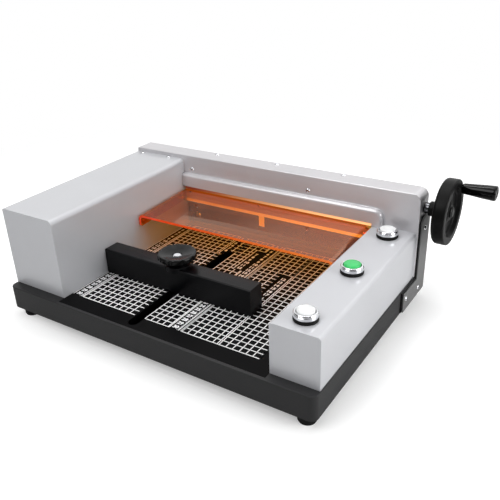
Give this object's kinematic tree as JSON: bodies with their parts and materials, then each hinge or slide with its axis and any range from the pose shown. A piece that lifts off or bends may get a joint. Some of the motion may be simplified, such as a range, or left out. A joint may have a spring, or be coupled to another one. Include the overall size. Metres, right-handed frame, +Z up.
{
  "type": "electric paper cutter",
  "caption": "Desktop paper cutter: a bridge with blade and clamp over a flat table, a hinged clear cover, a sliding squaring gauge, push buttons and a hand wheel for the clamp.",
  "frame": {"origin": "on the floor under the middle of the outline, at the soles of the feet", "axes": "+X to the operator's right along the bridge, +Y from the operator to the bridge, +Z up"},
  "size_m": [0.605, 0.3835, 0.2005],
  "materials": {
    "casting": "fine textured black paint",
    "rubber": "matt",
    "table": "satin dark paint",
    "stick": "plain",
    "housing": "satin light grey paint",
    "bridge": "satin silver",
    "plate": "bead blasted",
    "steel": "ground",
    "bright": "polished",
    "dark_sheet": "satin",
    "cover": "clear orange acrylic",
    "rail": "orange acrylic",
    "black_metal": "satin black",
    "black_plastic": "semi gloss",
    "white_cap": "gloss",
    "green_cap": "gloss",
    "motor": "painted grey",
    "brass": "turned",
    "board": "board green",
    "coil": "varnished"
  },
  "bodies": {
    "frame": {"base_casting": "casting", "feet": "rubber", "table_plate": "table", "cutting_stick": "stick", "left_housing": "housing", "right_housing": "housing", "bridge_cover": "bridge", "rear_cover": "housing", "side_plate_left": "plate", "side_plate_right": "plate", "side_packing_left": "dark_sheet", "side_packing_right": "dark_sheet", "slot_pan": "dark_sheet", "frame_cheek_left": "steel", "frame_cheek_right": "steel", "bridge_beam": "steel", "clamp_guide_left": "steel", "clamp_guide_right": "steel", "screw_hanger": "steel", "screw_bush": "brass", "motor_bracket": "steel", "gearbox": "motor", "motor": "motor", "capacitor": "bridge", "control_board": "board", "transformer": "coil", "cover_switch": "black_plastic", "power_inlet": "black_plastic", "cover_rail": "rail", "button_gaskets": "rubber", "button_bezels": "bright", "contact_blocks": "black_plastic"},
    "clamp": {"clamp_bar": "steel", "clamp_pins": "bright", "guard_plate_left": "dark_sheet", "guard_plate_right": "dark_sheet"},
    "draw": {"draw_bar": "steel", "lead_nut": "brass"},
    "wheel": {"clamp_screw": "bright", "hand_wheel": "black_plastic", "wheel_nut": "black_plastic", "grip_spindle": "bright"},
    "grip_sleeve": {"grip": "black_plastic"},
    "knife": {"blade": "steel", "blade_carrier": "steel", "blade_bolts": "bright", "carrier_pins": "bright", "blade_rack": "steel"},
    "drive": {"drive_pinion": "steel", "output_shaft": "steel"},
    "cover": {"cover_panel": "cover", "cover_pins": "bright"},
    "gauge": {"gauge_bar": "black_metal", "gauge_stud": "bright", "slide_nut": "steel"},
    "knob": {"gauge_knob": "black_plastic"},
    "front_cap": {"button_front": "white_cap"},
    "middle_cap": {"button_middle": "green_cap"},
    "back_cap": {"button_back": "white_cap"}
  },
  "joints": [
    {"name": "clamp_slide", "type": "slide", "parent": "frame", "child": "clamp", "axis": [0, 0, 1], "range_m": [-0.022, 0.018]},
    {"name": "draw_slide", "type": "slide", "parent": "frame", "child": "draw", "axis": [1, 0, 0], "range_m": [-0.018, 0.022]},
    {"name": "wheel_turn", "type": "hinge", "parent": "frame", "child": "wheel", "pos_m": [0.24, 0.1455, 0.154], "axis": [-1, 0, 0], "range_deg": [-810, 990]},
    {"name": "grip_turn", "type": "hinge", "parent": "wheel", "child": "grip_sleeve", "pos_m": [0.28, 0.17846, 0.17839], "axis": [1, 0, 0], "continuous": true},
    {"name": "knife_slide", "type": "slide", "parent": "frame", "child": "knife", "axis": [-0.7071, 0, -0.7071], "range_m": [0, 0.05798]},
    {"name": "drive_turn", "type": "hinge", "parent": "frame", "child": "drive", "pos_m": [-0.2465, 0.1455, 0.119], "axis": [0, 1, 0], "range_deg": [0, 221.6]},
    {"name": "cover_hinge", "type": "hinge", "parent": "frame", "child": "cover", "pos_m": [-0.0235, 0.1085, 0.112], "axis": [-1, 0, 0], "range_deg": [0, 75]},
    {"name": "gauge_slide", "type": "slide", "parent": "frame", "child": "gauge", "axis": [0, 1, 0], "range_m": [-0.095, 0.115]},
    {"name": "knob_turn", "type": "hinge", "parent": "gauge", "child": "knob", "pos_m": [-0.065, -0.0695, 0.101], "axis": [0, 0, 1], "continuous": true},
    {"name": "front_press", "type": "slide", "parent": "frame", "child": "front_cap", "axis": [0, 0, -1], "range_m": [0, 0.003], "stiffness_N_per_m": 150, "springref_m": -0.001},
    {"name": "middle_press", "type": "slide", "parent": "frame", "child": "middle_cap", "axis": [0, 0, -1], "range_m": [0, 0.003], "stiffness_N_per_m": 150, "springref_m": -0.001},
    {"name": "back_press", "type": "slide", "parent": "frame", "child": "back_cap", "axis": [0, 0, -1], "range_m": [0, 0.003], "stiffness_N_per_m": 150, "springref_m": -0.001}
  ],
  "couplings": [
    {"joint": "draw_slide", "follows": "wheel_turn", "m_per_rad": 0.001273},
    {"joint": "clamp_slide", "follows": "wheel_turn", "m_per_rad": -0.001273},
    {"joint": "drive_turn", "follows": "knife_slide", "rad_per_m": 66.667}
  ]
}
